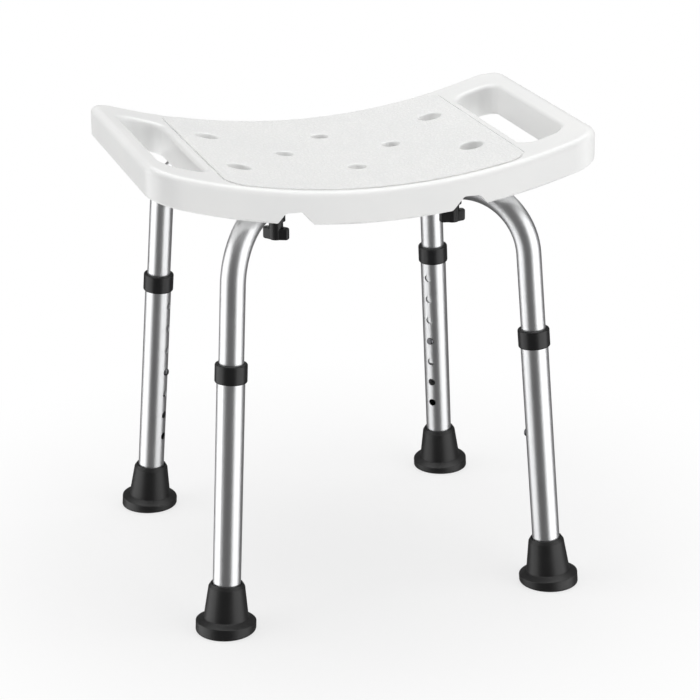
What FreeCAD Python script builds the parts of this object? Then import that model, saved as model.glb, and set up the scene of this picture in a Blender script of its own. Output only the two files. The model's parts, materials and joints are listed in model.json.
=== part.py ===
import FreeCAD, Part
import math
import os
import re
import Sketcher

# Shower stool: a moulded saddle seat on two crossing inverted-U tubes, with four legs
# that telescope on the tubes and lock with snap buttons, and rubber feet.
# Millimetres. The origin is on the floor under the seat's centre, +X runs along the seat's
# long side, the front is at -Y and +Z is up.

V = FreeCAD.Vector
os.makedirs("parts", exist_ok=True)
doc = FreeCAD.newDocument("shower_stool")

# ---------------------------------------------------------------- driving dimensions

SIZES = [
    # seat
    ("seat_length", 466, "long side, along X"),
    ("seat_depth", 300, "front to rear, along Y"),
    ("saddle_radius", 686, "radius of the saddle's curve"),
    ("skirt_height", 33.5, "upright height of the seat's edge"),
    ("seat_corner", 30, "plan radius of the seat's corners"),
    ("seat_top_round", 7, "rounding of the upper edge"),
    ("seat_bottom_round", 2.5, "rounding of the lower edge"),
    ("plate_thickness", 8.3, "seat plate over the frame"),
    ("plate_gap", 0.3, "seat plate above the frame tubes at the centre"),
    ("rim_width", 18, "front and rear skirt thickness"),
    ("seat_wall", 2.5, "wall of the blow-moulded seat"),
    ("recess_web", 8.5, "wall between the underside recess and a hand slot"),
    ("recess_corner", 14, "plan radius of the recess"),
    ("panel_web", 10.7, "grained panel's end to a hand slot"),
    ("panel_margin", 9, "grained panel's edge to the seat's front or rear edge"),
    ("panel_corner", 20, "plan radius of the panel"),
    ("panel_raise", 1, "panel height over the seat"),
    ("panel_groove", 1.8, "width of the groove round the panel"),
    ("groove_sink", 1, "depth of the groove round the panel"),
    ("grip_bar", 21.5, "handle bar outside a hand slot"),
    ("grip_width", 46, "hand slot along X"),
    ("grip_length", 208, "hand slot along Y"),
    ("grip_corner", 18, "plan radius of the hand slot"),
    ("grip_round", 5, "rounding of the hand slot's upper edge"),
    ("grip_under_round", 2, "rounding of the hand slot's lower edge"),
    ("big_drain_radius", 12, "corner drain holes"),
    ("big_drain_along", 123.7, "corner drain holes from the centre, X"),
    ("big_drain_across", 63.3, "corner drain holes from the centre, Y"),
    ("small_drain_radius", 9, "middle drain holes"),
    ("small_drain_along", 58, "left and right middle drain holes, X"),
    ("small_drain_across", 63.5, "front and rear middle drain holes, Y"),
    ("drain_round", 2, "rounding of a drain hole's mouth"),
    ("notch_centre", 92.5, "skirt notches from the centre, X"),
    ("notch_mouth", 38, "notch width at the skirt's lower edge"),
    ("notch_top", 17, "notch width at its top"),
    ("notch_rise", 12, "notch height"),
    ("notch_round", 5, "rounding of the notch's corners"),
    ("boss_radius", 15, "cradle over the frame tube at each knob"),
    ("cradle_depth", 6.7, "how far a cradle comes down past the tube's top"),
    ("cradle_gap", 0.4, "room between the seat and the frame tubes"),
    # frame
    ("foot_inset", 56.5, "seat's end beyond a foot's centre, along X"),
    ("foot_outset", 17.5, "foot's centre beyond the seat's edge, along Y"),
    ("leg_lean", 4.75, "degrees each leg leans outwards"),
    ("tube_radius", 12.7, "frame tube, outside"),
    ("tube_wall", 1.4, "frame tube wall"),
    ("run_height", 419.5, "axis height of the frame's level run"),
    ("bend_radius", 67, "frame tube bend, on its axis"),
    ("flat_reach", 20, "half length of the flattened crossing"),
    ("flat_taper", 25, "length over which the tube flattens"),
    ("flat_half_height", 5, "half height of the flattened tube"),
    ("flat_spread", 4.9, "how far the flattened tube grows on each side"),
    ("crossing_gap", 0.3, "each flattened tube above or below the mid height"),
    ("rivet_radius", 4, "shank of the centre rivet"),
    ("rivet_head_radius", 8, "head of the centre rivet"),
    ("rivet_head_height", 1.8, "head of the centre rivet"),
    # telescoping legs, measured along the leg from the floor
    ("sleeve_play", 0.4, "lower tube's bore round the frame tube"),
    ("sleeve_wall", 1.2, "lower tube wall"),
    ("sleeve_start", 13, "lower end of the lower tube"),
    ("hole_pitch", 26, "height steps"),
    ("hole_count", 7, "height settings"),
    ("rest_hole", 4, "setting in use, counted from the top"),
    ("hole_play", 0.35, "height holes round the button"),
    ("first_hole_drop", 17.3, "first hole below the collar"),
    ("tube_tail", 28.5, "frame tube below its button"),
    ("collar_bottom", 260.8, "collar's lower end"),
    ("collar_height", 19.7, "collar"),
    ("collar_wall", 2.1, "collar round the lower tube"),
    ("collar_lip", 4, "collar above the lower tube's end"),
    ("collar_play", 0.35, "collar's bore round the frame tube"),
    # snap button and its spring
    ("button_radius", 3.9, "button shank"),
    ("button_proud", 2.2, "button beyond the lower tube"),
    ("button_flange_radius", 5, "flange inside the frame tube"),
    ("button_flange_gap", 0.3, "flange's rim to the frame tube's wall"),
    ("button_flange_thickness", 1.2, "flange"),
    ("spring_thickness", 0.8, "spring strip"),
    ("spring_width", 7, "spring strip"),
    ("spring_reach", 42, "spring above the button"),
    ("spring_gap", 0.4, "spring to the tube's wall and the button"),
    # feet
    ("foot_radius", 30.8, "sole"),
    ("flange_height", 10, "sole's edge, on the leg's axis"),
    ("flange_slope", 3.4, "rise of the sole's top towards the cone"),
    ("cone_wall", 8.6, "cone round the lower tube at its base"),
    ("neck_wall", 4.3, "cone round the lower tube at its top"),
    ("neck_drop", 3.6, "chamfer under the foot's mouth"),
    ("foot_height", 50, "foot, along the leg"),
    ("lip_wall", 2, "foot's mouth round the lower tube, outside"),
    ("mouth_bevel", 1.2, "foot's mouth round the lower tube, inside"),
    ("mouth_depth", 2.4, "bevel inside the foot's mouth"),
    ("pad_round", 2, "rounding under the sole"),
    ("groove_outer", 25, "outer grip groove under the sole"),
    ("groove_inner", 15, "inner grip groove under the sole"),
    ("groove_width", 2.4, "grip grooves"),
    ("groove_depth", 1.2, "grip grooves"),
    ("washer_inset", 0.3, "steel washer's rim inside the lower tube's outside"),
    ("washer_hole", 4, "hole of the steel washer"),
    ("washer_thickness", 2, "steel washer in the foot"),
    # hand knobs that hold the seat on the frame
    ("knob_before_bend", 17.8, "knob axis to the start of the frame tube's bend"),
    ("saddle_thickness", 5.6, "saddle washer below the frame tube"),
    ("saddle_washer_radius", 9.5, "saddle washer"),
    ("saddle_play", 0.3, "saddle washer to the tube and the stud"),
    ("saddle_wrap", 3, "how far the saddle washer wraps up the tube"),
    ("knob_height", 19, "hand knob"),
    ("hub_radius", 7.2, "hand knob's hub"),
    ("wing_reach", 13.6, "hand knob's wings from its axis"),
    ("wing_tip", 3.1, "half thickness of a wing at its tip"),
    ("wing_root", 6.6, "half thickness of a wing at the hub"),
    ("wing_height", 12.5, "hand knob's wings"),
    ("wing_round", 2.2, "rounding of the wings"),
    ("stud_radius", 3.95, "threaded stud, modelled smooth"),
    ("stud_socket", 14, "stud inside the knob"),
    ("stud_hole_play", 0.65, "stud holes in the frame tube round the stud"),
    ("insert_wall", 2.5, "threaded insert's wall"),
    ("insert_play", 0.05, "threaded insert's bore round the stud"),
    ("insert_length", 10, "threaded insert"),
    ("insert_drop", 0.6, "insert above the tube's top"),
    ("stud_end_gap", 1, "stud's tip below the insert's top"),
]

sheet = doc.addObject("Spreadsheet::Sheet", "Sizes")
for row, (name, number, note) in enumerate(SIZES, 1):
    sheet.set(f"A{row}", name)
    sheet.set(f"B{row}", str(number))
    sheet.set(f"C{row}", note)
    sheet.setAlias(f"B{row}", name)
doc.recompute()

# Sizes that follow from others: what fits in, seats on or passes through another piece.
FITS = {
    "seat_height": "run_height + tube_radius + plate_gap + plate_thickness",
    "grip_centre": "seat_length / 2 - grip_bar - grip_width / 2",
    "recess_length": "2 * (grip_centre - grip_width / 2 - recess_web)",
    "panel_length": "2 * (grip_centre - grip_width / 2 - panel_web)",
    "panel_depth": "seat_depth - 2 * panel_margin",
    "foot_span_long": "seat_length - 2 * foot_inset",
    "foot_span_short": "seat_depth + 2 * foot_outset",
    "foot_reach": "sqrt((foot_span_long / 2) ^ 2 + (foot_span_short / 2) ^ 2)",
    "bend_low": "run_height - bend_radius",
    "axis_at_bend": "foot_reach - bend_low * tan(leg_lean * 1 deg)",
    "bend_start": "axis_at_bend - bend_radius / cos(leg_lean * 1 deg)",
    "flat_half_width": "tube_radius + flat_spread",
    "sleeve_radius": "tube_radius + sleeve_play + sleeve_wall",
    "collar_radius": "sleeve_radius + collar_wall",
    "rest_hole_height": "collar_bottom - first_hole_drop - (rest_hole - 1) * hole_pitch",
    "hole_radius": "button_radius + hole_play",
    "flange_rim": "tube_radius - tube_wall - button_flange_gap",
    "button_flange_top": "sqrt(flange_rim ^ 2 - button_flange_radius ^ 2)",
    "cone_radius": "sleeve_radius + cone_wall",
    "neck_radius": "sleeve_radius + neck_wall",
    "lip_radius": "sleeve_radius + lip_wall",
    "mouth_radius": "sleeve_radius + mouth_bevel",
    "washer_radius": "sleeve_radius - washer_inset",
    "knob_offset": "bend_start - knob_before_bend",
    "knob_top": "run_height - tube_radius - saddle_play - saddle_thickness",
    "insert_bore": "stud_radius + insert_play",
    "insert_radius": "insert_bore + insert_wall",
    "stud_hole_radius": "stud_radius + stud_hole_play",
}


def any_word_of(names):
    return re.compile(r"\b(" + "|".join(names) + r")\b")


FIT_NAME = any_word_of(FITS)
CELL_NAME = any_word_of(name for name, number, note in SIZES)


def full(expression):
    """The expression with its fits written out and the sheet's name before every alias."""
    text = str(expression)
    while FIT_NAME.search(text):
        text = FIT_NAME.sub(lambda found: f"({FITS[found.group(0)]})", text)
    return CELL_NAME.sub(lambda found: "Sizes." + found.group(0), text)


def number_of(expression):
    """The expression's value with the sheet's present numbers."""
    return float(sheet.evalExpression(full(expression)))


def bind(thing, sizes):
    """Tie properties of an object to expressions of the sheet."""
    for name, expression in sizes.items():
        thing.setExpression(name, full(expression))


# ---------------------------------------------------------------- sketches and features


def origin_plane(body, role):
    return next(item for item in body.Origin.OriginFeatures if item.Role == role)


def sketch_on(body, role, lift="0"):
    """An empty sketch on one of the body's own origin planes, lifted along its normal."""
    sketch = body.newObject("Sketcher::SketchObject", body.Label + "_sketch")
    sketch.AttachmentSupport = [(origin_plane(body, role), "")]
    sketch.MapMode = "FlatFace"
    bind(sketch, {"AttachmentOffset.Base.z": lift})
    return sketch


def pin_point(sketch, edge, end, across, along):
    """Hold one point of an edge at the two coordinates, each bound to an expression."""
    for kind, axis, expression in (("DistanceX", -2, across), ("DistanceY", -1, along)):
        if str(expression) == "0":
            sketch.addConstraint(Sketcher.Constraint("PointOnObject", edge, end, axis))
            continue
        at = number_of(expression)
        index = sketch.addConstraint(Sketcher.Constraint(kind, -1, 1, edge, end, at))
        bind(sketch, {f"Constraints[{index}]": expression})


def draw_outline(sketch, corners, arcs=None, closed=True):
    """Lines through the corners. arcs maps a corner's number to (radius, side) where the
    line after it is an arc instead, with its centre to the left (1) or right (-1)."""
    arcs = arcs or {}
    points = [V(number_of(across), number_of(along), 0) for across, along in corners]
    count = len(points) if closed else len(points) - 1
    ends = []
    for index in range(count):
        start = points[index]
        stop = points[(index + 1) % len(points)]
        if index not in arcs:
            edge = sketch.addGeometry(Part.LineSegment(start, stop), False)
            ends.append((edge, 1, 2))
            continue
        radius_text, side = arcs[index]
        radius = number_of(radius_text)
        chord = stop - start
        rise = math.sqrt(radius**2 - (chord.Length / 2) ** 2)
        normal = V(-chord.y, chord.x, 0).normalize()
        centre = (start + stop) / 2 + normal * (rise * side)
        first, last = (start, stop) if side > 0 else (stop, start)
        angles = [math.atan2(point.y - centre.y, point.x - centre.x) for point in (first, last)]
        circle = Part.Circle(centre, V(0, 0, 1), radius)
        edge = sketch.addGeometry(Part.ArcOfCircle(circle, angles[0], angles[1]), False)
        index = sketch.addConstraint(Sketcher.Constraint("Radius", edge, radius))
        bind(sketch, {f"Constraints[{index}]": radius_text})
        ends.append((edge, 1, 2) if side > 0 else (edge, 2, 1))
    for index, (edge, start_end, stop_end) in enumerate(ends):
        pin_point(sketch, edge, start_end, *corners[index])
        if closed or index + 1 < len(ends):
            after = ends[(index + 1) % len(ends)]
            joint = Sketcher.Constraint("Coincident", edge, stop_end, after[0], after[1])
            sketch.addConstraint(joint)
        else:
            pin_point(sketch, edge, stop_end, *corners[index + 1])


def draw_box(sketch, width, depth, across="0", along="0"):
    left, right = f"({across}) - ({width}) / 2", f"({across}) + ({width}) / 2"
    low, high = f"({along}) - ({depth}) / 2", f"({along}) + ({depth}) / 2"
    draw_outline(sketch, [(left, low), (right, low), (right, high), (left, high)])


def draw_circle(sketch, radius, across="0", along="0"):
    centre = V(number_of(across), number_of(along), 0)
    circle = Part.Circle(centre, V(0, 0, 1), number_of(radius))
    edge = sketch.addGeometry(circle, False)
    pin_point(sketch, edge, 3, across, along)
    index = sketch.addConstraint(Sketcher.Constraint("Radius", edge, number_of(radius)))
    bind(sketch, {f"Constraints[{index}]": radius})


def pad(body, sketch, length, both_ways=False):
    feature = body.newObject("PartDesign::Pad", body.Label + "_pad")
    feature.Profile = sketch
    feature.SideType = "Symmetric" if both_ways else "One side"
    bind(feature, {"Length": length})
    doc.recompute()
    return feature


def pocket(body, sketch, reverse=False, both_ways=False, depth=None):
    """Cut the sketch through the body, or to a depth, and make sure that it cuts."""
    before = body.Shape.Volume
    feature = body.newObject("PartDesign::Pocket", body.Label + "_pocket")
    feature.Profile = sketch
    feature.Reversed = reverse
    feature.SideType = "Symmetric" if both_ways else "One side"
    if depth is None:
        feature.Type = "ThroughAll"
    else:
        bind(feature, {"Length": depth})
    doc.recompute()
    if not body.Shape.Volume < before:
        raise RuntimeError(f"{feature.Name} cuts nothing")
    return feature


def round_edges(body, radius, chosen):
    """Fillet the edges for which chosen(edge) is true."""
    names = [f"Edge{i}" for i, edge in enumerate(body.Shape.Edges, 1) if chosen(edge)]
    if not names:
        raise RuntimeError(f"{body.Label} has no such edge to round")
    feature = body.newObject("PartDesign::Fillet", body.Label + "_round")
    feature.Base = (body.Tip if body.Tip is not feature else feature.BaseFeature, names)
    bind(feature, {"Radius": radius})
    doc.recompute()
    return feature


def near(first, second, slack=0.05):
    return abs(first - second) < slack


def middle_of(edge):
    return edge.valueAt((edge.FirstParameter + edge.LastParameter) / 2)


def upright(edge):
    """Whether an edge is a straight upright line."""
    return isinstance(edge.Curve, Part.Line) and near(abs(edge.tangentAt(edge.FirstParameter).z), 1, 1e-4)


def new_body(label):
    body = doc.addObject("PartDesign::Body", label)
    body.Label = label
    return body


def turned(label, corners, rounds=()):
    """A body of revolution round Z from (radius, height) corners, with rounded rings."""
    body = new_body(label)
    sketch = sketch_on(body, "XZ_Plane")
    draw_outline(sketch, corners)
    spin = body.newObject("PartDesign::Revolution", label + "_spin")
    spin.Profile = sketch
    spin.ReferenceAxis = (sketch, ["V_Axis"])
    spin.Angle = 360
    doc.recompute()
    for across, height, radius in rounds:
        ring_radius, ring_height = number_of(across), number_of(height)
        round_edges(
            body,
            radius,
            lambda edge: isinstance(edge.Curve, Part.Circle)
            and near(edge.Curve.Radius, ring_radius)
            and near(edge.Curve.Center.z, ring_height),
        )
    return body


# ---------------------------------------------------------------- Part objects


def cylinder(label, radius, height, base=("0", "0", "0"), turn=None):
    item = doc.addObject("Part::Cylinder", label)
    if turn:
        item.Placement = FreeCAD.Placement(V(0, 0, 0), turn)
    sizes = {"Radius": radius, "Height": height}
    sizes.update({f"Placement.Base.{axis}": text for axis, text in zip("xyz", base)})
    bind(item, sizes)
    return item


def cut(label, base, tool):
    item = doc.addObject("Part::Cut", label)
    item.Label = label
    item.Base = base
    item.Tool = tool
    return item


def fuse(label, items):
    item = doc.addObject("Part::MultiFuse", label)
    item.Label = label
    item.Shapes = items
    return item


# ---------------------------------------------------------------- places

CORNERS = {
    "front_left": (-1, -1),
    "front_right": (1, -1),
    "rear_left": (-1, 1),
    "rear_right": (1, 1),
}
LEAN_SINE = "sin(leg_lean * 1 deg)"
LEAN_COSINE = "cos(leg_lean * 1 deg)"
TUBE_TOP = "(run_height + tube_radius)"


def heading(corner):
    """Degrees from +X to the corner's diagonal."""
    side, front = CORNERS[corner]
    across = number_of("foot_span_short") * front
    return math.degrees(math.atan2(across, number_of("foot_span_long") * side))


def leg_frame(corner):
    """Z up the leg's axis from the floor, X away from the stool's centre."""
    turn = FreeCAD.Rotation(V(0, 0, 1), heading(corner))
    lean = FreeCAD.Rotation(V(0, 1, 0), -number_of("leg_lean"))
    reach = turn.multVec(V(number_of("foot_reach"), 0, 0))
    return FreeCAD.Placement(reach, turn.multiply(lean))


def on_diagonal(corner, distance, height, twist=0):
    """Upright frame on the corner's diagonal, at a distance from the centre."""
    turn = FreeCAD.Rotation(V(0, 0, 1), heading(corner))
    base = turn.multVec(V(number_of(distance), 0, number_of(height)))
    return FreeCAD.Placement(base, FreeCAD.Rotation(V(0, 0, 1), heading(corner) + twist))


# ---------------------------------------------------------------- seat


def saddle(half_length, offset):
    """Height of the saddle's curve at half_length from the centre, plus an offset."""
    fall = f"saddle_radius - sqrt(saddle_radius ^ 2 - ({half_length}) ^ 2)"
    return f"seat_height + {fall} + ({offset})"


def saddle_band(body, length, low, high):
    """A sketch of the saddle's side view between two heights measured from its top."""
    sketch = sketch_on(body, "XZ_Plane")
    half = f"({length}) / 2"
    corners = [
        (f"-{half}", saddle(half, low)),
        (half, saddle(half, low)),
        (half, saddle(half, high)),
        (f"-{half}", saddle(half, high)),
    ]
    draw_outline(sketch, corners, {0: ("saddle_radius", 1), 2: ("saddle_radius", -1)})
    return sketch


def seat_block(label, inset):
    """The seat's outer form, shrunk by an inset on every side."""
    body = new_body(label)
    length, depth = f"seat_length - 2 * ({inset})", f"seat_depth - 2 * ({inset})"
    profile = saddle_band(body, length, f"{inset} - skirt_height", f"-({inset})")
    pad(body, profile, depth, True)
    round_edges(body, f"seat_corner - ({inset})", upright)
    curve = number_of("saddle_radius")
    half_length = number_of(f"({length}) / 2")

    def on_saddle(edge, offset):
        """Whether an edge lies on the saddle's curve at an offset from the seat's top."""
        middle = middle_of(edge)
        fall = curve - math.sqrt(curve**2 - min(abs(middle.x), half_length) ** 2)
        level = number_of(f"seat_height + ({offset})") + fall
        return near(middle.z, level, 0.2) and not upright(edge)

    top_round = f"seat_top_round - ({inset})"
    round_edges(body, top_round, lambda edge: on_saddle(edge, f"-({inset})"))
    if inset == "0":
        round_edges(body, "seat_bottom_round", lambda edge: on_saddle(edge, "-skirt_height"))
    return body


def rounded_band(label, length, depth, low, high, corner):
    """A saddle-shaped slab with rounded plan corners."""
    body = new_body(label)
    pad(body, saddle_band(body, length, low, high), depth, True)
    round_edges(body, corner, upright)
    return body


def grip_space(label, side, inset):
    """The space of one hand slot, grown by an inset."""
    body = new_body(label)
    sketch = sketch_on(body, "XY_Plane", "seat_height - 2 * skirt_height")
    width, length = f"grip_width + 2 * ({inset})", f"grip_length + 2 * ({inset})"
    draw_box(sketch, width, length, f"{side} * grip_centre")
    pad(body, sketch, "5 * skirt_height")
    round_edges(body, f"grip_corner + ({inset})", upright)
    return body


def notch_space(label, side, inset):
    """The space of one notch through the front and rear skirts, grown by an inset."""
    body = new_body(label)
    sketch = sketch_on(body, "XZ_Plane")
    high = saddle("notch_centre", f"notch_rise + ({inset}) - skirt_height")
    low = saddle("notch_centre", "-notch_rise - skirt_height")
    slope = "(notch_mouth - notch_top) / notch_rise"
    wide = f"(notch_mouth + 2 * ({inset}) + {slope} * notch_rise) / 2"
    narrow = f"(notch_top + 2 * ({inset})) / 2"
    middle = f"{side} * notch_centre"
    corners = [
        (f"{middle} - {wide}", low),
        (f"{middle} + {wide}", low),
        (f"{middle} + {narrow}", high),
        (f"{middle} - {narrow}", high),
    ]
    draw_outline(sketch, corners)
    pad(body, sketch, "2 * seat_depth", True)
    top = number_of(high)
    round_edges(
        body,
        "notch_round",
        lambda edge: near(middle_of(edge).z, top) and near(edge.Length, number_of("2 * seat_depth")),
    )
    return body


def seat_solids(label, inset):
    """What is added to and taken from the seat, or from its blown inside."""
    block = seat_block(label + "_block", inset)
    added = [block]
    if inset == "0":
        panel = ("panel_length", "panel_depth", "-skirt_height / 2", "panel_raise", "panel_corner")
        groove = rounded_band(
            label + "_groove",
            "panel_length + 2 * panel_groove",
            "panel_depth + 2 * panel_groove",
            "-groove_sink",
            "plate_thickness",
            "panel_corner + panel_groove",
        )
        added = [cut(label + "_grooved", block, groove), rounded_band(label + "_panel", *panel)]
    recess = rounded_band(
        label + "_recess",
        f"recess_length + 2 * ({inset})",
        f"seat_depth - 2 * rim_width + 2 * ({inset})",
        "-2 * skirt_height",
        f"({inset}) - plate_thickness",
        f"recess_corner + ({inset})",
    )
    spaces = []
    for side in (-1, 1):
        spaces.append(grip_space(f"{label}_grip", side, inset))
        spaces.append(notch_space(f"{label}_notch", side, inset))
    for across, along, radius in drain_places():
        base = (across, along, "seat_height - 2 * skirt_height")
        drain_radius = f"{radius} + ({inset})"
        spaces.append(cylinder(f"{label}_drain", drain_radius, "5 * skirt_height", base))
    return added, recess, spaces


def cradle(label, corner, radius, low, high):
    """An upright cylinder on a knob's axis between two heights."""
    base = on_diagonal(corner, "knob_offset", "0").Base
    return cylinder(label, radius, f"({high}) - ({low})", (base.x, base.y, low))


def drain_places():
    """Across, along and radius of the eight drain holes."""
    places = []
    for side in (-1, 1):
        places.append((f"{side} * small_drain_along", "0", "small_drain_radius"))
        places.append(("0", f"{side} * small_drain_across", "small_drain_radius"))
        for front in (-1, 1):
            place = (f"{side} * big_drain_along", f"{front} * big_drain_across")
            places.append((*place, "big_drain_radius"))
    return places


def height_over_saddle(point):
    """How far a point lies above the saddle's surface."""
    return point.z - number_of(saddle(point.x, "0"))


def mouth_edges(shape):
    """The number and rounding of each edge round the mouths of the drains and hand slots."""
    drains = [tuple(number_of(size) for size in place) for place in drain_places()]
    half_width, half_length = number_of("grip_width / 2"), number_of("grip_length / 2")
    corner = number_of("grip_corner")
    chosen = []
    for index, edge in enumerate(shape.Edges, 1):
        box = edge.BoundBox
        point = middle_of(edge)
        for across, along, radius in drains:
            centred = near(box.Center.x, across) and near(box.Center.y, along)
            whole = near(box.YLength, 2 * radius, 0.3) and near(box.XLength, 2 * radius, 0.3)
            if centred and whole and height_over_saddle(box.Center) > -number_of("drain_round"):
                chosen.append((index, number_of("drain_round")))
        from_grip = abs(abs(point.x) - number_of("grip_centre"))
        inside = from_grip < half_width + 0.1 and abs(point.y) < half_length + 0.1
        at_rim = from_grip > half_width - corner or abs(point.y) > half_length - corner
        if inside and at_rim and near(height_over_saddle(point), 0, 0.3):
            chosen.append((index, number_of("grip_round")))
        if inside and at_rim and near(height_over_saddle(point), -number_of("skirt_height"), 0.5):
            chosen.append((index, number_of("grip_under_round")))
    return chosen


def make_seat(reliefs, wide_reliefs):
    added, recess, spaces = seat_solids("seat", "0")
    body = cut("seat_shell", fuse("seat_outer", added), recess)
    plate_middle = saddle("knob_offset * 0.7", "-plate_thickness / 2")
    cradle_low = f"{TUBE_TOP} - cradle_depth"
    cradles = [
        cradle("cradle", corner, "boss_radius", cradle_low, plate_middle) for corner in CORNERS
    ]
    body = cut("seat_open", fuse("seat_cradled", [body, *cradles]), fuse("seat_spaces", spaces))
    insert_low = f"{TUBE_TOP} + insert_drop"
    sockets = [
        cradle("socket", corner, "insert_radius", cradle_low, f"{insert_low} + insert_length")
        for corner in CORNERS
    ]
    body = cut("seat_fitted", body, fuse("seat_frame_space", sockets + reliefs))
    added, recess, spaces = seat_solids("blown", "seat_wall")
    spaces.append(recess)
    spaces += [
        cradle("blown_cradle", corner, "boss_radius", cradle_low, "seat_height + skirt_height")
        for corner in CORNERS
    ]
    inside = cut("blown_inside", added[0], fuse("blown_spaces", spaces + wide_reliefs))
    sharp = cut("seat_sharp", body, inside)
    doc.recompute()
    seat = doc.addObject("Part::Fillet", "seat")
    seat.Base = sharp
    seat.Edges = [(index, radius, radius) for index, radius in mouth_edges(sharp.Shape)]
    return seat


# ---------------------------------------------------------------- frame


def tube_path(label):
    """The axis of half a frame tube, from the crossing's taper out and down the leg."""
    tail = "(rest_hole_height - tube_tail)"
    sketch = doc.addObject("Sketcher::SketchObject", label + "_path")
    sketch.Placement = FreeCAD.Placement(V(0, 0, 0), FreeCAD.Rotation(V(1, 0, 0), 90))
    corners = [
        ("flat_reach + flat_taper", "run_height"),
        ("bend_start", "run_height"),
        (f"bend_start + bend_radius * {LEAN_COSINE}", f"bend_low + bend_radius * {LEAN_SINE}"),
        (f"foot_reach - {tail} * {LEAN_SINE}", f"{tail} * {LEAN_COSINE}"),
    ]
    draw_outline(sketch, corners, {1: ("bend_radius", -1)}, closed=False)
    return sketch


ACROSS_X = FreeCAD.Rotation(V(1, 1, 1), 120)


def ring(label, radius, along, height):
    """A circle round the tube's level run."""
    item = doc.addObject("Part::Circle", label)
    item.Placement = FreeCAD.Placement(V(0, 0, 0), ACROSS_X)
    bind(item, {"Radius": radius, "Placement.Base.x": along, "Placement.Base.z": height})
    return item


def flat_ring(label, half_width, half_height, along, height):
    """An ellipse round the flattened crossing."""
    item = doc.addObject("Part::Ellipse", label)
    item.Placement = FreeCAD.Placement(V(0, 0, 0), ACROSS_X)
    sizes = {"MajorRadius": half_width, "MinorRadius": half_height}
    sizes.update({"Placement.Base.x": along, "Placement.Base.z": height})
    bind(item, sizes)
    return item


def sweep(label, section, path):
    item = doc.addObject("Part::Sweep", label)
    item.Sections = [section]
    item.Spine = (path, ["Edge1", "Edge2", "Edge3"])
    item.Solid = True
    return item


def tube_solid(label, path, inset, level):
    """A whole frame tube as a solid bar, shrunk by an inset; level is the flat's height."""
    radius = f"tube_radius - ({inset})"
    reach = "flat_reach + flat_taper"
    bent = sweep(label + "_bend", ring(label + "_ring", radius, reach, "run_height"), path)
    other = doc.addObject("Part::Mirroring", label + "_other_bend")
    other.Source = bent
    other.Normal = V(1, 0, 0)
    flats = [f"flat_half_width - ({inset})", f"flat_half_height - ({inset})"]
    middle = doc.addObject("Part::Loft", label + "_middle")
    middle.Sections = [
        ring(label + "_near", radius, f"-({reach})", "run_height"),
        flat_ring(label + "_flat", *flats, "-flat_reach", level),
        flat_ring(label + "_flat", *flats, "flat_reach", level),
        ring(label + "_far", radius, reach, "run_height"),
    ]
    middle.Solid = True
    middle.Ruled = True
    return fuse(label + "_bar", [bent, other, middle])


def make_frame_tube(label, corner, side):
    """One inverted-U tube on a corner's diagonal; side 1 is pressed flat above the other."""
    path = tube_path(label)
    level = f"run_height + {side} * (flat_half_height + crossing_gap)"
    outer = tube_solid(label + "_outer", path, "0", level)
    inner = tube_solid(label + "_inner", path, "tube_wall", level)
    drill = "tube_radius + 2"
    base = ("0", "0", f"run_height - ({drill})")
    holes = [cylinder(label + "_rivet_hole", "rivet_radius", f"2 * ({drill})", base)]
    for way in (-1, 1):
        place = (f"{way} * knob_offset", "0", f"run_height - ({drill})")
        holes.append(cylinder(label + "_stud_hole", "stud_hole_radius", f"2 * ({drill})", place))
        # the button's hole goes through the wall that faces the stool's centre
        lean = number_of("leg_lean") * way
        aim = FreeCAD.Rotation(V(0, 1, 0), -lean - 90 * way)
        place = (
            f"{way} * (foot_reach - rest_hole_height * {LEAN_SINE})",
            "0",
            f"rest_hole_height * {LEAN_COSINE}",
        )
        holes.append(cylinder(label + "_button_hole", "hole_radius", drill, place, aim))
    hollow = cut(label + "_hollow", outer, inner)
    tube = cut(label, hollow, fuse(label + "_holes", holes))
    tube.Placement = FreeCAD.Placement(V(0, 0, 0), FreeCAD.Rotation(V(0, 0, 1), heading(corner)))
    return tube, path


def tube_reliefs(label, corner, path, gap):
    """The frame tube with a gap round it, to be kept clear of the seat."""
    radius = f"tube_radius + {gap}"
    section = ring(label + "_relief_ring", radius, "flat_reach + flat_taper", "run_height")
    reliefs = []
    for turn in (0, 180):
        bar = sweep(label + "_relief", section, path)
        bar.Placement = FreeCAD.Placement(V(0, 0, 0), FreeCAD.Rotation(V(0, 0, 1), heading(corner) + turn))
        reliefs.append(bar)
    return reliefs


def make_rivet():
    flat_top = "2 * flat_half_height + crossing_gap"
    head_top = f"{flat_top} + rivet_head_height"
    corners = [
        ("0", f"-({head_top})"),
        ("rivet_head_radius - 1.5", f"-({head_top})"),
        ("rivet_head_radius", f"-({flat_top}) - 0.3"),
        ("rivet_head_radius", f"-({flat_top})"),
        ("rivet_radius", f"-({flat_top})"),
        ("rivet_radius", flat_top),
        ("rivet_head_radius", flat_top),
        ("rivet_head_radius", f"{flat_top} + 0.3"),
        ("rivet_head_radius - 1.5", head_top),
        ("0", head_top),
    ]
    rivet = turned("centre_rivet", corners)
    rivet.Placement = FreeCAD.Placement(V(0, 0, number_of("run_height")), FreeCAD.Rotation())
    return rivet


# ---------------------------------------------------------------- legs


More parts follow.
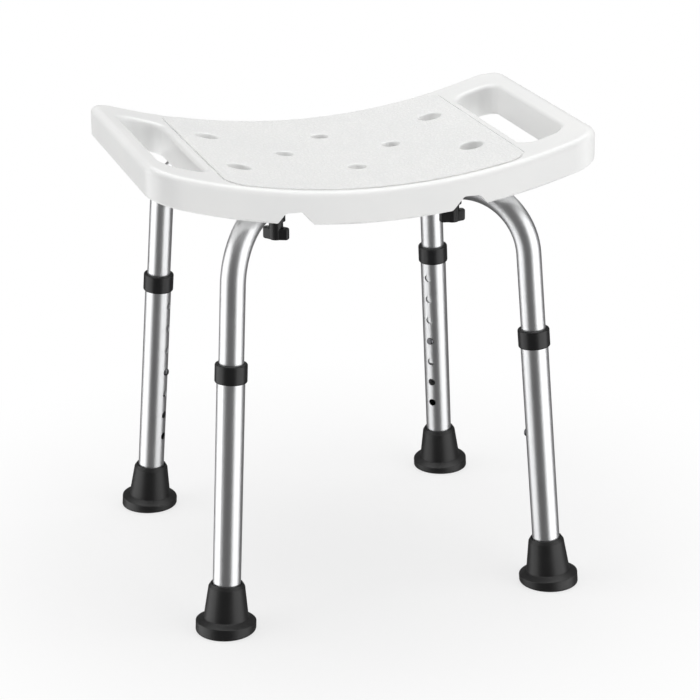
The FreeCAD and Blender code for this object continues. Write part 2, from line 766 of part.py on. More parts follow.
def make_lower_tube(corner):
    body = new_body("lower_tube_" + corner)
    length = "collar_bottom + collar_height - collar_lip - sleeve_start"
    section = sketch_on(body, "XY_Plane", "sleeve_start")
    draw_circle(section, "sleeve_radius")
    draw_circle(section, "sleeve_radius - sleeve_wall")
    pad(body, section, length)
    hole = sketch_on(body, "YZ_Plane")
    draw_circle(hole, "hole_radius", "0", "collar_bottom - first_hole_drop")
    row = pocket(body, hole)
    pattern = body.newObject("PartDesign::LinearPattern", body.Label + "_row")
    pattern.Originals = [row]
    pattern.Direction = (next(i for i in body.Origin.OriginFeatures if i.Role == "Z_Axis"), [""])
    pattern.Reversed = True
    bind(pattern, {"Length": "(hole_count - 1) * hole_pitch", "Occurrences": "hole_count"})
    body.Tip = pattern
    body.Placement = leg_frame(corner)
    return body


def make_collar(corner):
    bore = "tube_radius + collar_play"
    corners = [
        ("sleeve_radius", "collar_bottom"),
        ("collar_radius", "collar_bottom"),
        ("collar_radius", "collar_bottom + collar_height"),
        (bore, "collar_bottom + collar_height"),
        (bore, "collar_bottom + collar_height - collar_lip"),
        ("sleeve_radius", "collar_bottom + collar_height - collar_lip"),
    ]
    rounds = [
        ("collar_radius", "collar_bottom", "(collar_radius - sleeve_radius) * 0.85"),
        ("collar_radius", "collar_bottom + collar_height", "(collar_radius - sleeve_radius) * 1.05"),
        (bore, "collar_bottom + collar_height", "0.6"),
    ]
    body = turned("collar_" + corner, corners, rounds)
    body.Placement = leg_frame(corner)
    return body


def make_foot(corner):
    """A rubber foot: a cone round the lower tube on a wide sole, cut level with the floor."""
    corners = [
        ("0", "-foot_radius / 2"),
        ("foot_radius", "-foot_radius / 2"),
        ("foot_radius", "flange_height"),
        ("cone_radius", "flange_height + flange_slope"),
        ("neck_radius", "foot_height - neck_drop"),
        ("lip_radius", "foot_height"),
        ("mouth_radius", "foot_height"),
        ("sleeve_radius", "foot_height - mouth_depth"),
        ("sleeve_radius", "sleeve_start - washer_thickness"),
        ("0", "sleeve_start - washer_thickness"),
    ]
    rounds = [
        ("foot_radius", "flange_height", "1.2"),
        ("cone_radius", "flange_height + flange_slope", "2"),
        ("neck_radius", "foot_height - neck_drop", "1.5"),
        ("lip_radius", "foot_height", "0.4"),
    ]
    casting = turned("foot_blank_" + corner, corners, rounds)
    casting.Placement = leg_frame(corner)
    floor = doc.addObject("Part::Box", "below_floor_" + corner)
    bind(floor, {"Length": "4 * foot_radius", "Width": "4 * foot_radius", "Height": "foot_radius"})
    centre = leg_frame(corner).Base
    reach = number_of("2 * foot_radius")
    floor.Placement.Base = V(centre.x - reach, centre.y - reach, -number_of("foot_radius"))
    level = cut("foot_level_" + corner, casting, floor)
    grooves = []
    for radius in ("groove_outer", "groove_inner"):
        base = (centre.x, centre.y, "0")
        outside = cylinder("groove_out", radius, "groove_depth", base)
        inside = cylinder("groove_in", f"{radius} - groove_width", "groove_depth", base)
        grooves.append(cut("grip_groove", outside, inside))
    grooved = cut("foot_grooved_" + corner, level, fuse("grip_grooves_" + corner, grooves))
    doc.recompute()
    foot = doc.addObject("Part::Fillet", "foot_" + corner)
    foot.Label = "foot_" + corner
    foot.Base = grooved
    rim = number_of("foot_radius")
    radius = number_of("pad_round")
    foot.Edges = [
        (index, radius, radius)
        for index, edge in enumerate(grooved.Shape.Edges, 1)
        if near(edge.BoundBox.ZMax, 0) and edge.BoundBox.XLength > 1.9 * rim
    ]
    return foot


def make_foot_washer(corner):
    body = new_body("foot_washer_" + corner)
    section = sketch_on(body, "XY_Plane", "sleeve_start - washer_thickness")
    draw_circle(section, "washer_radius")
    draw_circle(section, "washer_hole")
    pad(body, section, "washer_thickness")
    body.Placement = leg_frame(corner)
    return body


def button_frame(corner):
    """Z from the leg's axis out through the button, towards the stool's centre."""
    across = FreeCAD.Rotation(V(0, 1, 0), -90)
    local = FreeCAD.Placement(V(0, 0, number_of("rest_hole_height")), across)
    return leg_frame(corner).multiply(local)


def make_button(corner):
    tip = "sleeve_radius + button_proud"
    back = "button_flange_top - button_flange_thickness"
    corners = [
        ("0", back),
        ("button_flange_radius", back),
        ("button_flange_radius", "button_flange_top"),
        ("button_radius", "button_flange_top"),
        ("button_radius", tip),
        ("0", tip),
    ]
    rounds = [("button_radius", tip, "button_proud * 0.8")]
    body = turned("snap_button_" + corner, corners, rounds)
    body.Placement = button_frame(corner)
    return body


def make_spring(corner):
    """A sprung steel strip bent into a V, behind the button, with its bend upwards."""
    body = new_body("snap_spring_" + corner)
    sketch = sketch_on(body, "XZ_Plane")
    wall = "tube_radius - tube_wall - spring_gap"
    near_side = "-(button_flange_top - button_flange_thickness)"
    far_side = f"sqrt(({wall}) ^ 2 - (spring_width / 2) ^ 2)"
    low = "rest_hole_height - button_flange_radius"
    top = "rest_hole_height + spring_reach"
    corners = [
        (near_side, low),
        (f"{near_side} + spring_thickness", low),
        (f"{near_side} + spring_thickness", f"{low} + 2 * button_flange_radius"),
        ("0", f"{top} - 2 * spring_thickness"),
        (f"{far_side} - spring_thickness", f"{low} + 2 * button_flange_radius"),
        (f"{far_side} - spring_thickness", low),
        (far_side, low),
        (far_side, f"{low} + 2 * button_flange_radius"),
        ("spring_thickness", top),
        ("-spring_thickness", top),
        (near_side, f"{low} + 2 * button_flange_radius"),
    ]
    draw_outline(sketch, corners)
    pad(body, sketch, "spring_width", True)
    body.Placement = leg_frame(corner)
    return body


# ---------------------------------------------------------------- knobs


KNOB_TWIST = {"front_left": 98, "front_right": 45, "rear_left": 20, "rear_right": 110}


def make_knob(corner):
    """A hand knob with two wings. Z is its axis, from its lower face up."""
    label = "knob_" + corner
    stud = "knob_height - stud_socket"
    corners = [
        ("0", "0"),
        ("hub_radius", "0"),
        ("hub_radius", "knob_height"),
        ("stud_radius", "knob_height"),
        ("stud_radius", stud),
        ("0", stud),
    ]
    rounds = [("hub_radius", "0", "1.5"), ("hub_radius", "knob_height", "1")]
    body = turned(label, corners, rounds)
    blades = new_body("blades_" + corner)
    sketch = sketch_on(blades, "XY_Plane")
    outline = []
    for way in (1, -1):
        outline.append((f"{way} * wing_reach", f"{way} * -wing_tip"))
        outline.append((f"{way} * wing_reach", f"{way} * wing_tip"))
        outline.append(("0", f"{way} * wing_root"))
    draw_outline(sketch, outline)
    pad(blades, sketch, "wing_height")
    reach, height = number_of("wing_reach"), number_of("wing_height")
    round_edges(
        blades,
        "wing_tip * 0.92",
        lambda edge: upright(edge) and near(abs(middle_of(edge).x), reach),
    )
    round_edges(
        blades,
        "wing_round",
        lambda edge: near(edge.BoundBox.ZLength, 0)
        and near(abs(middle_of(edge).z - height / 2), height / 2),
    )
    joined = fuse("knob_joined_" + corner, [body, blades])
    bore = cylinder("knob_bore_" + corner, "stud_radius", "knob_height", ("0", "0", stud))
    knob = cut(label, joined, bore)
    body.Label = "hub_" + corner
    knob.Label = label
    knob.Placement = on_diagonal(corner, "knob_offset", "knob_top - knob_height", KNOB_TWIST[corner])
    return knob


def make_stud(corner):
    low = "-stud_socket"
    over_tube = "saddle_play + saddle_thickness + 2 * tube_radius"
    tip = f"{over_tube} + insert_drop + insert_length - stud_end_gap"
    corners = [
        ("0", low),
        ("stud_radius", low),
        ("stud_radius", f"{tip} - 1"),
        ("stud_radius - 1", tip),
        ("0", tip),
    ]
    body = turned("knob_stud_" + corner, corners)
    body.Placement = on_diagonal(corner, "knob_offset", "knob_top")
    return body


def make_saddle_washer(corner):
    """A plastic washer that is hollowed to sit against the frame tube."""
    label = "saddle_washer_" + corner
    height = "saddle_thickness + saddle_wrap"
    disc = cylinder("washer_disc", "saddle_washer_radius", height)
    bore = cylinder("washer_bore", "stud_radius + saddle_play", height)
    axis_height = "saddle_thickness + saddle_play + tube_radius"
    turn = FreeCAD.Rotation(V(0, 1, 0), 90)
    base = ("-tube_radius", "0", axis_height)
    tube = cylinder("washer_tube", "tube_radius + saddle_play", "2 * tube_radius", base, turn)
    washer = cut(label, disc, fuse("washer_spaces", [bore, tube]))
    washer.Placement = on_diagonal(corner, "knob_offset", "knob_top")
    return washer


def make_insert(corner):
    """A threaded brass insert in the seat, modelled with a smooth bore."""
    waist = "insert_radius - 0.8"
    corners = [
        ("insert_bore", "0"),
        ("insert_radius", "0"),
        ("insert_radius", "insert_length * 0.4"),
        (waist, "insert_length * 0.4"),
        (waist, "insert_length * 0.6"),
        ("insert_radius", "insert_length * 0.6"),
        ("insert_radius", "insert_length"),
        ("insert_bore", "insert_length"),
    ]
    body = turned("seat_insert_" + corner, corners)
    body.Placement = on_diagonal(corner, "knob_offset", f"{TUBE_TOP} + insert_drop")
    return body


# ---------------------------------------------------------------- assembly

nodes = []
reliefs = []
wide_reliefs = []
for label, corner, side in (
    ("frame_tube_left_front", "front_left", 1),
    ("frame_tube_right_front", "front_right", -1),
):
    tube, path = make_frame_tube(label, corner, side)
    reliefs += tube_reliefs(label, corner, path, "cradle_gap")
    wide_reliefs += tube_reliefs(label, corner, path, "cradle_gap + seat_wall")
    nodes.append(tube)
nodes.append(make_seat(reliefs, wide_reliefs))
nodes.append(make_rivet())
LEG_PIECES = (
    make_lower_tube,
    make_collar,
    make_foot,
    make_foot_washer,
    make_button,
    make_spring,
    make_knob,
    make_stud,
    make_saddle_washer,
    make_insert,
)
for corner in CORNERS:
    nodes += [make(corner) for make in LEG_PIECES]
doc.recompute()

# ---------------------------------------------------------------- checks and files

for item in doc.Objects:
    if "Invalid" in item.State or "Error" in item.State:
        raise RuntimeError(f"{item.Name} failed: {item.State}")
for node in nodes:
    shape = node.Shape
    if shape.isNull() or not shape.isValid() or not shape.Solids:
        raise RuntimeError(f"{node.Label} has no valid shape")
for node in nodes:
    node.Shape.exportStep(f"parts/{node.Label}.step")
    print(node.Label, len(node.Shape.Solids), round(node.Shape.Volume))
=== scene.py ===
"""Shower stool: a white saddle seat on crossing aluminium tubes with telescoping legs."""

import json
import math

import bpy
from mathutils import Matrix, Vector


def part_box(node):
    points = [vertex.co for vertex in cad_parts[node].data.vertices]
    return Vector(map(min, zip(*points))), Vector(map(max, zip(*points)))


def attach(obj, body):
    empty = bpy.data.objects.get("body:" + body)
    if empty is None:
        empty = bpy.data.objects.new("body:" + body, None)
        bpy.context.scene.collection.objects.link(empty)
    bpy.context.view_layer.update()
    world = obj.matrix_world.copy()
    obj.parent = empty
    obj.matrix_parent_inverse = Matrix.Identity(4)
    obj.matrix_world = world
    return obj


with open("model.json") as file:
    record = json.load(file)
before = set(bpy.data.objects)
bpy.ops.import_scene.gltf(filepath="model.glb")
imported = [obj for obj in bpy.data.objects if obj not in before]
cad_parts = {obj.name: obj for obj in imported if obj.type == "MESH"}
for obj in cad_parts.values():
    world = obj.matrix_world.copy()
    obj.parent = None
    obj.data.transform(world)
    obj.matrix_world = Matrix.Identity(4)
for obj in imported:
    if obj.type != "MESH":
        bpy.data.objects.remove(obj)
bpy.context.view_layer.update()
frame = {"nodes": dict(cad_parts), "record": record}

MM = 0.001
SIDES = {"front_left": (-1, -1), "front_right": (1, -1), "rear_left": (-1, 1), "rear_right": (1, 1)}

# The seat's grained panel, with the sizes it was moulded to.
PANEL_HALF_LENGTH = 154.8 * MM
PANEL_HALF_DEPTH = 141 * MM
PANEL_CORNER = 20 * MM
PEBBLE = 4.2 * MM

# The row of numbers beside the height holes.
FIGURE_HEIGHT = 4.6 * MM
FIGURE_PROUD = 0.12 * MM
FIGURE_ROOT = 0.25 * MM
FIGURE_TURN = math.radians(148)
HOLE_COUNT = 7
HOLE_PITCH = 26 * MM
HOLE_FROM_TOP = 33 * MM
COLLAR_HALF_HEIGHT = 9.85 * MM
COLLAR_LIP = 4 * MM
LOWER_TUBE_RADIUS = 14.3 * MM
LEG_LEAN = math.radians(4.75)
WELD = 0.001 * MM

# The studio: the camera looks at a point near the stool's middle.
CAMERA_AZIMUTH = -17.8
CAMERA_ELEVATION = 19.9
CAMERA_DISTANCE = 2.4803
CAMERA_TARGET = Vector((0.0050, -0.0203, 0.2286))
CAMERA_LENS = 120.35
CAMERA_ROLL = -0.4
LAMP_TARGET_HEIGHT = 0.25
ROOM_STRENGTH = 0.13
FLOOR_HALF = 12.0
FLOOR_FADE = (0.28, 0.6)


# ---------------------------------------------------------------- nodes


def add(tree, kind, inputs=None, **settings):
    """A new node with its settings made and its inputs filled or linked."""
    node = tree.nodes.new(kind)
    for name, value in settings.items():
        setattr(node, name, value)
    for key, value in (inputs or {}).items():
        if isinstance(value, bpy.types.NodeSocket):
            tree.links.new(value, node.inputs[key])
        else:
            node.inputs[key].default_value = value
    return node


def maths(tree, operation, *values):
    """The result of one Math node."""
    return add(tree, "ShaderNodeMath", dict(enumerate(values)), operation=operation).outputs[0]


def blend(tree, factor, low, high):
    """A number that goes from low to high with a factor."""
    return add(tree, "ShaderNodeMapRange", {0: factor, 3: low, 4: high}).outputs[0]


def step(tree, value, start, stop):
    """A soft step from 0 to 1 as value goes from start to stop."""
    inputs = {0: value, 1: start, 2: stop}
    return add(tree, "ShaderNodeMapRange", inputs, interpolation_type="SMOOTHSTEP").outputs[0]


def tint(tree, factor, low, high):
    """A colour that goes from low to high with a factor."""
    node = add(tree, "ShaderNodeMix", {0: factor}, data_type="RGBA")
    node.inputs[6].default_value = (*low, 1)
    node.inputs[7].default_value = (*high, 1)
    return node.outputs[2]


def new_finish(name):
    """A material, its tree, its shader and a surface's place in the object's own frame."""
    material = bpy.data.materials.new(name)
    material.use_nodes = True
    tree = material.node_tree
    place = add(tree, "ShaderNodeTexCoord").outputs["Object"]
    return material, tree, tree.nodes["Principled BSDF"], place


def noise(tree, place, scale, detail=3, rough=0.55):
    inputs = {"Vector": place, "Scale": scale, "Detail": detail, "Roughness": rough}
    return add(tree, "ShaderNodeTexNoise", inputs).outputs["Fac"]


def stretched(tree, place, scale):
    return add(tree, "ShaderNodeMapping", {"Vector": place, "Scale": scale}).outputs[0]


def relief(tree, height, distance, strength=1.0, under=None):
    """The normal of a surface with a relief on it."""
    inputs = {"Height": height, "Distance": distance, "Strength": strength}
    if under is not None:
        inputs["Normal"] = under
    return add(tree, "ShaderNodeBump", inputs).outputs[0]


def feed(tree, shader, **sockets):
    """Link or set the shader's sockets, whose names are given with _ for a space."""
    for name, value in sockets.items():
        socket = shader.inputs[name.replace("_", " ")]
        if isinstance(value, bpy.types.NodeSocket):
            tree.links.new(value, socket)
        else:
            socket.default_value = value


# ---------------------------------------------------------------- finishes


def panel_mask(tree, place):
    """1 on the upper face of the grained panel, and 0 elsewhere."""
    split = add(tree, "ShaderNodeSeparateXYZ", {0: place}).outputs
    over = []
    for socket, half in ((split[0], PANEL_HALF_LENGTH), (split[1], PANEL_HALF_DEPTH)):
        size = maths(tree, "ABSOLUTE", socket)
        over.append(maths(tree, "SUBTRACT", size, half - PANEL_CORNER))
    past = [maths(tree, "MAXIMUM", value, 0.0) for value in over]
    corner = maths(tree, "SQRT", maths(tree, "ADD", *[maths(tree, "POWER", v, 2.0) for v in past]))
    inner = maths(tree, "MINIMUM", maths(tree, "MAXIMUM", *over), 0.0)
    distance = maths(tree, "SUBTRACT", maths(tree, "ADD", corner, inner), PANEL_CORNER)
    inside = step(tree, distance, -0.3 * MM, -1.6 * MM)
    normal = add(tree, "ShaderNodeNewGeometry").outputs["True Normal"]
    upward = add(tree, "ShaderNodeSeparateXYZ", {0: normal}).outputs[2]
    return maths(tree, "MULTIPLY", inside, step(tree, upward, 0.85, 0.95))


def seat_finish():
    """White plastic, smooth on the rim, pebbled on the panel, with painted shade in the pebbles'
    valleys.
    """
    material, tree, shader, place = new_finish("moulded white polyethylene")
    mask = panel_mask(tree, place)
    wander = add(tree, "ShaderNodeVectorMath", {0: place}, operation="ADD")
    swirls = {"Vector": place, "Scale": 210.0, "Detail": 2.0}
    swirl = add(tree, "ShaderNodeTexNoise", swirls).outputs["Color"]
    shift = {0: swirl, "Scale": 4.5 * MM}
    bent = add(tree, "ShaderNodeVectorMath", shift, operation="SCALE").outputs[0]
    tree.links.new(bent, wander.inputs[1])
    cells = {"Vector": wander.outputs[0], "Scale": 1 / PEBBLE, "Randomness": 1.0}
    web = add(tree, "ShaderNodeTexVoronoi", cells, feature="DISTANCE_TO_EDGE")
    pebble = step(tree, web.outputs["Distance"], 0.0, 0.28)
    crown = maths(tree, "MULTIPLY", pebble, blend(tree, noise(tree, place, 420, 3), 0.6, 1.3))
    grain = maths(tree, "MULTIPLY", crown, mask)
    peel = noise(tree, place, 150, 2)
    under = relief(tree, peel, 0.05 * MM, 0.25)
    normal = relief(tree, grain, 0.34 * MM, 1.0, under)
    cloudy = noise(tree, place, 9, 3)
    shade = tint(tree, step(tree, cloudy, 0.3, 0.7), (0.865, 0.868, 0.862), (0.895, 0.895, 0.885))
    # Painted shade: the panel's colour goes up to 35 % of the way to grey in the valleys between
    # the pebbles.
    valley_shade = maths(tree, "MULTIPLY", maths(tree, "SUBTRACT", 1.0, crown), mask)
    base = add(tree, "ShaderNodeMix", {0: maths(tree, "MULTIPLY", valley_shade, 0.35)}, data_type="RGBA")
    tree.links.new(shade, base.inputs[6])
    # The grey of the painted shade in the pebbles' valleys.
    base.inputs[7].default_value = (0.72, 0.725, 0.72, 1)
    rough = maths(tree, "ADD", blend(tree, mask, 0.36, 0.47), blend(tree, peel, -0.03, 0.03))
    feed(tree, shader, Base_Color=base.outputs[2], Roughness=rough, Normal=normal)
    feed(tree, shader, IOR=1.5)
    return material


def drawn_aluminium():
    """Satin anodised tube with faint lines along it."""
    material, tree, shader, place = new_finish("satin anodised aluminium")
    lines = noise(tree, stretched(tree, place, (1500, 1500, 14)), 1.0, 2)
    cloudy = noise(tree, place, 35, 3)
    colour = tint(tree, cloudy, (0.76, 0.765, 0.775), (0.83, 0.835, 0.84))
    rough = maths(tree, "ADD", blend(tree, lines, 0.33, 0.43), blend(tree, cloudy, -0.02, 0.02))
    normal = relief(tree, lines, 0.006 * MM, 0.5)
    feed(tree, shader, Base_Color=colour, Roughness=rough, Normal=normal, Metallic=1.0)
    return material


def black_plastic():
    """Black plastic with the fine grain of its mould."""
    material, tree, shader, place = new_finish("black moulded plastic")
    grain = noise(tree, place, 2200, 2)
    cloudy = noise(tree, place, 60, 3)
    colour = tint(tree, cloudy, (0.005, 0.005, 0.0055), (0.009, 0.009, 0.0095))
    rough = maths(tree, "ADD", blend(tree, grain, 0.30, 0.42), blend(tree, cloudy, -0.03, 0.03))
    normal = relief(tree, grain, 0.02 * MM, 0.35)
    feed(tree, shader, Base_Color=colour, Roughness=rough, Normal=normal, IOR=1.5)
    return material


def black_rubber():
    """Moulded rubber with a fine bloom and a little dust near the floor."""
    material, tree, shader, place = new_finish("black moulded rubber")
    grain = noise(tree, place, 1600, 3)
    bloom = noise(tree, place, 45, 4)
    height = add(tree, "ShaderNodeSeparateXYZ", {0: place}).outputs[2]
    low = maths(tree, "MULTIPLY", step(tree, height, 5 * MM, 0.0), step(tree, bloom, 0.35, 0.75))
    half_bloom, half_low = (maths(tree, "MULTIPLY", part, 0.5) for part in (bloom, low))
    patches = maths(tree, "ADD", half_bloom, half_low)
    colour = tint(tree, patches, (0.005, 0.005, 0.0055), (0.020, 0.0195, 0.019))
    rough = maths(tree, "ADD", blend(tree, grain, 0.38, 0.50), maths(tree, "MULTIPLY", low, 0.15))
    normal = relief(tree, grain, 0.03 * MM, 0.4)
    feed(tree, shader, Base_Color=colour, Roughness=rough, Normal=normal, IOR=1.52)
    return material


def turned_metal(name, dark, bright, low_rough, high_rough):
    """Metal with fine marks from its making and a slightly uneven coat."""
    material, tree, shader, place = new_finish(name)
    marks = noise(tree, stretched(tree, place, (300, 300, 2600)), 1.0, 2)
    coat = noise(tree, place, 160, 3)
    colour = tint(tree, coat, dark, bright)
    rough = blend(tree, marks, low_rough, high_rough)
    normal = relief(tree, marks, 0.01 * MM, 0.4)
    feed(tree, shader, Base_Color=colour, Roughness=rough, Normal=normal, Metallic=1.0)
    return material


FINISHES = {
    "seat_plastic": seat_finish(),
    "anodised_tube": drawn_aluminium(),
    "black_plastic": black_plastic(),
    "black_rubber": black_rubber(),
    "plated_steel": turned_metal(
        "zinc plated steel", (0.50, 0.51, 0.53), (0.66, 0.66, 0.65), 0.28, 0.42
    ),
    "dark_steel": turned_metal(
        "dark spring steel", (0.13, 0.13, 0.14), (0.24, 0.24, 0.25), 0.25, 0.4
    ),
    "brass_insert": turned_metal(
        "turned brass", (0.60, 0.43, 0.18), (0.75, 0.56, 0.26), 0.22, 0.36
    ),
}


def dress_cad_nodes():
    """Give every node that shows the finish of its material slot."""
    for part in frame["record"]["subparts"]:
        node = frame["nodes"][part["node"]]
        node.data.materials.clear()
        node.data.materials.append(FINISHES[part["material_slot"]])


# ---------------------------------------------------------------- height numbers


def number_tree(finish):
    """Geometry Nodes that set a column of numbers on a tube and bend them round it."""
    tree = bpy.data.node_groups.new("height numbers", "GeometryNodeTree")
    face = tree.interface
    face.new_socket("Geometry", in_out="OUTPUT", socket_type="NodeSocketGeometry")
    sizes = {"Figure height": "Float", "Pitch": "Float", "Tube radius": "Float", "Turn": "Float"}
    sizes.update({"Count": "Int", "First height": "Float", "Lean": "Vector", "Foot": "Vector"})
    for name, kind in sizes.items():
        face.new_socket(name, in_out="INPUT", socket_type="NodeSocket" + kind)
    given = add(tree, "NodeGroupInput").outputs
    start = add(tree, "GeometryNodeRepeatInput")
    stop = add(tree, "GeometryNodeRepeatOutput")
    start.pair_with_output(stop)
    tree.links.new(given["Count"], start.inputs["Iterations"])
    turn_number = start.outputs["Iteration"]
    figure = maths(tree, "ADD", turn_number, 1.0)
    text = add(tree, "FunctionNodeValueToString", {0: figure}, data_type="FLOAT").outputs[0]
    letters = add(tree, "GeometryNodeStringToCurves", align_x="CENTER", align_y="MIDDLE")
    tree.links.new(text, letters.inputs["String"])
    tree.links.new(given["Figure height"], letters.inputs["Size"])
    loose = add(tree, "GeometryNodeRealizeInstances", {0: letters.outputs[0]}).outputs[0]
    flat = add(tree, "GeometryNodeFillCurve", {0: loose}).outputs[0]
    sunk = Vector((0, 0, -FIGURE_ROOT))
    back = add(tree, "GeometryNodeTransform", {0: flat, "Translation": sunk}).outputs[0]
    raised = {0: back, "Offset": Vector((0, 0, 1)), "Offset Scale": FIGURE_ROOT + FIGURE_PROUD}
    raised["Individual"] = False
    front = add(tree, "GeometryNodeExtrudeMesh", raised).outputs[0]
    turned = add(tree, "GeometryNodeFlipFaces", {0: back}).outputs[0]
    both = add(tree, "GeometryNodeJoinGeometry")
    tree.links.new(front, both.inputs[0])
    tree.links.new(turned, both.inputs[0])
    welded = {0: both.outputs[0], "Distance": WELD}
    whole = add(tree, "GeometryNodeMergeByDistance", welded).outputs[0]
    position = add(tree, "GeometryNodeInputPosition").outputs[0]
    place = add(tree, "ShaderNodeSeparateXYZ", {0: position}).outputs
    radius = maths(tree, "ADD", given["Tube radius"], place[2])
    angle = maths(tree, "ADD", given["Turn"], maths(tree, "DIVIDE", place[0], given["Tube radius"]))
    down = maths(tree, "MULTIPLY", turn_number, given["Pitch"])
    level = maths(tree, "SUBTRACT", maths(tree, "ADD", given["First height"], place[1]), down)
    across = maths(tree, "MULTIPLY", radius, maths(tree, "COSINE", angle))
    along = maths(tree, "MULTIPLY", radius, maths(tree, "SINE", angle))
    bent = add(tree, "ShaderNodeCombineXYZ", {0: across, 1: along, 2: level}).outputs[0]
    wrapped = add(tree, "GeometryNodeSetPosition", {0: whole, "Position": bent}).outputs[0]
    column = add(tree, "GeometryNodeJoinGeometry")
    tree.links.new(wrapped, column.inputs[0])
    tree.links.new(start.outputs[1], column.inputs[0])
    tree.links.new(column.outputs[0], stop.inputs[0])
    leaning = {0: stop.outputs[0], "Rotation": given["Lean"], "Translation": given["Foot"]}
    stood = add(tree, "GeometryNodeTransform", leaning).outputs[0]
    painted = add(tree, "GeometryNodeSetMaterial", {0: stood, "Material": finish}).outputs[0]
    end = add(tree, "NodeGroupOutput")
    tree.links.new(painted, end.inputs[0])
    return tree


def leg_axis(corner):
    """The leg's foot on the floor, its turn and its length to the middle of the collar."""
    low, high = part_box(f"foot_washer_{corner}")
    top_low, top_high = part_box(f"collar_{corner}")
    washer, collar = (low + high) / 2, (top_low + top_high) / 2
    along = (collar - washer).normalized()
    foot = washer - along * (washer.z / along.z)
    heading = math.atan2(foot.y, foot.x)
    turn = Matrix.Rotation(heading, 3, "Z") @ Matrix.Rotation(-LEG_LEAN, 3, "Y")
    return foot, turn.to_euler(), (collar - foot).length


def height_numbers(corner, tree):
    """One leg's column of numbers, as a piece that moves with the leg."""
    foot, turn, collar_middle = leg_axis(corner)
    first = collar_middle + COLLAR_HALF_HEIGHT - COLLAR_LIP - HOLE_FROM_TOP
    mesh = bpy.data.meshes.new("numbers")
    piece = bpy.data.objects.new("height_numbers_" + corner, mesh)
    bpy.context.scene.collection.objects.link(piece)
    modifier = piece.modifiers.new("numbers", "NODES")
    modifier.node_group = tree
    values = {
        "Figure height": FIGURE_HEIGHT,
        "Pitch": HOLE_PITCH,
        "Tube radius": LOWER_TUBE_RADIUS,
        "Turn": FIGURE_TURN,
        "Count": HOLE_COUNT,
        "First height": first,
        "Lean": Vector(turn),
        "Foot": foot,
    }
    for item in tree.interface.items_tree:
        if item.in_out == "INPUT":
            modifier[item.identifier] = values[item.name]
    bpy.context.view_layer.update()
    depsgraph = bpy.context.evaluated_depsgraph_get()
    done = bpy.data.meshes.new_from_object(piece.evaluated_get(depsgraph), depsgraph=depsgraph)
    piece.modifiers.clear()
    piece.data = done
    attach(piece, "leg_" + corner)
    return piece


# ---------------------------------------------------------------- studio


def plain_floor():
    """A white floor that goes over into the white background away from the stool."""
    half = FLOOR_HALF
    corners = [(-half, -half, 0), (half, -half, 0), (half, half, 0), (-half, half, 0)]
    mesh = bpy.data.meshes.new("floor")
    mesh.from_pydata(corners, [], [(0, 1, 2, 3)])
    floor = bpy.data.objects.new("floor", mesh)
    bpy.context.scene.collection.objects.link(floor)
    material, tree, shader, place = new_finish("white paper sweep")
    split = add(tree, "ShaderNodeSeparateXYZ", {0: place}).outputs
    squares = [maths(tree, "POWER", socket, 2.0) for socket in split[:2]]
    distance = maths(tree, "SQRT", maths(tree, "ADD", *squares))
    away = blend(tree, step(tree, distance, *FLOOR_FADE), 0.68, 1.0)
    feed(tree, shader, Base_Color=(0.93, 0.93, 0.93, 1), Roughness=0.9, Specular_IOR_Level=0.1)
    glow = add(tree, "ShaderNodeEmission", {"Color": (1, 1, 1, 1), "Strength": 1.0}).outputs[0]
    mixed = add(tree, "ShaderNodeMixShader", {0: away, 1: shader.outputs[0], 2: glow}).outputs[0]
    tree.links.new(mixed, tree.nodes["Material Output"].inputs["Surface"])
    mesh.materials.append(material)
    floor.visible_glossy = False


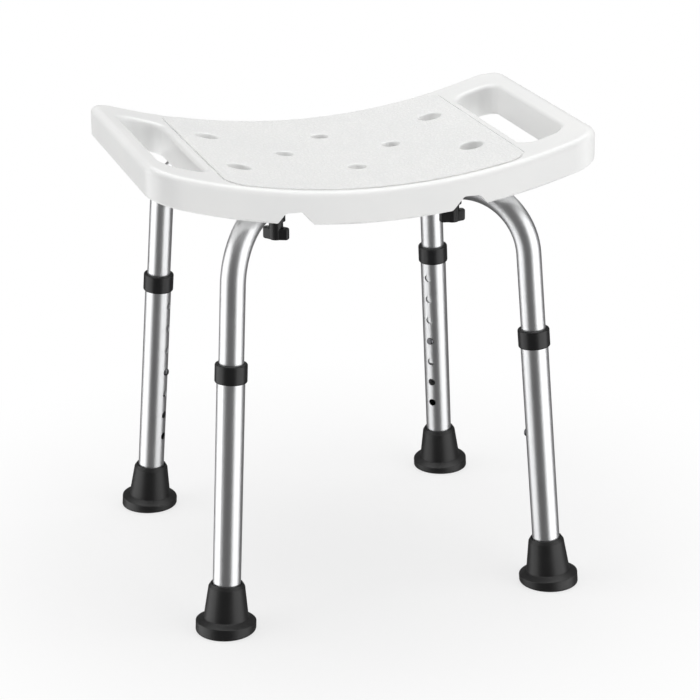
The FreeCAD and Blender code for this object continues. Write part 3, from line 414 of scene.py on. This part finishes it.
def white_room(strength):
    """The background is white, and the room that the metal reflects is dimmer."""
    world = bpy.data.worlds.new("room")
    bpy.context.scene.world = world
    world.use_nodes = True
    tree = world.node_tree
    room = tree.nodes["Background"]
    room.inputs[0].default_value = (1, 1, 1, 1)
    room.inputs[1].default_value = strength
    paper = add(tree, "ShaderNodeBackground", {0: (1, 1, 1, 1), 1: 1.0}).outputs[0]
    seen = add(tree, "ShaderNodeLightPath").outputs["Is Camera Ray"]
    mixed = add(tree, "ShaderNodeMixShader", {0: seen, 1: room.outputs[0], 2: paper}).outputs[0]
    tree.links.new(mixed, tree.nodes["World Output"].inputs["Surface"])


def beside_camera(turn, distance, height):
    """A place round the stool, turned to the right from the camera's direction, in degrees."""
    azimuth = math.radians(CAMERA_AZIMUTH + turn)
    return Vector((math.sin(azimuth) * distance, -math.cos(azimuth) * distance, height))


def softbox(name, place, width, height, brightness):
    """A rectangular light that faces the stool, as bright as the white of the background is 1."""
    light = bpy.data.lights.new(name, "AREA")
    light.shape = "RECTANGLE"
    light.size = width
    light.size_y = height
    light.energy = brightness * math.pi * width * height
    lamp = bpy.data.objects.new(name, light)
    lamp.location = place
    level = min(place.z, LAMP_TARGET_HEIGHT)
    lamp.rotation_euler = (Vector((0, 0, level)) - place).to_track_quat("-Z", "Y").to_euler()
    bpy.context.scene.collection.objects.link(lamp)


def studio_camera():
    """The camera, on a circle round its target."""
    camera = bpy.data.cameras.new("camera")
    camera.sensor_width = 36
    camera.lens = CAMERA_LENS
    eye = bpy.data.objects.new("camera", camera)
    azimuth, elevation = math.radians(CAMERA_AZIMUTH), math.radians(CAMERA_ELEVATION)
    across, level = math.sin(azimuth), math.cos(azimuth)
    away = Vector((across * math.cos(elevation), -level * math.cos(elevation), math.sin(elevation)))
    eye.location = CAMERA_TARGET + away * CAMERA_DISTANCE
    look = (-away).to_track_quat("-Z", "Y")
    roll = Matrix.Rotation(math.radians(CAMERA_ROLL), 4, away)
    eye.rotation_euler = (roll @ look.to_matrix().to_4x4()).to_euler()
    bpy.context.scene.collection.objects.link(eye)
    bpy.context.scene.camera = eye


dress_cad_nodes()
numbers = number_tree(FINISHES["anodised_tube"])
for name in SIDES:
    height_numbers(name, numbers)
plain_floor()
white_room(ROOM_STRENGTH)
softbox("right softbox", beside_camera(64, 1.9, 0.2), 2.3, 3.0, 1.6)
softbox("left softbox", beside_camera(-82, 1.9, 0.2), 2.3, 3.0, 1.5)
softbox("top softbox", Vector((0.1, 0.2, 2.1)), 2.0, 2.0, 2.7)
studio_camera()
bpy.context.scene.view_settings.view_transform = "Standard"
